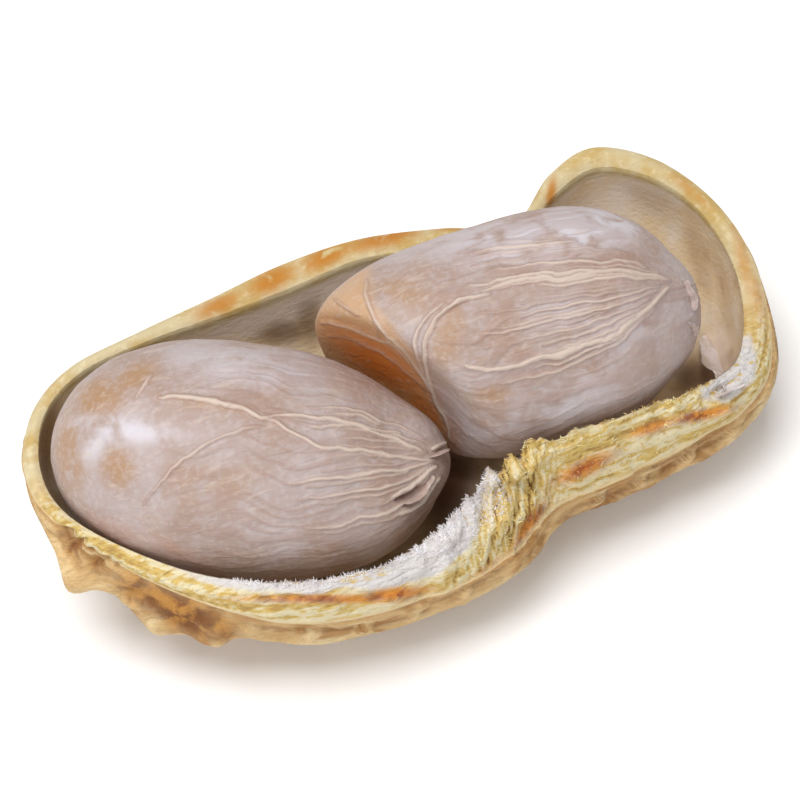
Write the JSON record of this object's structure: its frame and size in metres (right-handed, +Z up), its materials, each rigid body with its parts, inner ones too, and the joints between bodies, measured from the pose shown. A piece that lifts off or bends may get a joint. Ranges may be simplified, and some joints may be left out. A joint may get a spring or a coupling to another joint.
{
  "type": "peanut",
  "caption": "Opened peanut: one boat-shaped half of the netted pod, pinched at the waist, with its seed kernels lying in the lobes.",
  "frame": {"origin": "centre of the bounding box in plan, at the height of the flats the pod rests on", "axes": "+X along the pod towards the rear kernel, +Y across it towards the clean far edge, +Z up out of the open side"},
  "size_m": [0.0368, 0.0198, 0.0151],
  "materials": {
    "shell": "dry, fibrous, matt",
    "kernel_skin": "thin papery skin, slightly satin"
  },
  "bodies": {
    "root": {"shell_half": "shell", "kernel_front": "kernel_skin", "kernel_back": "kernel_skin"}
  },
  "joints": []
}
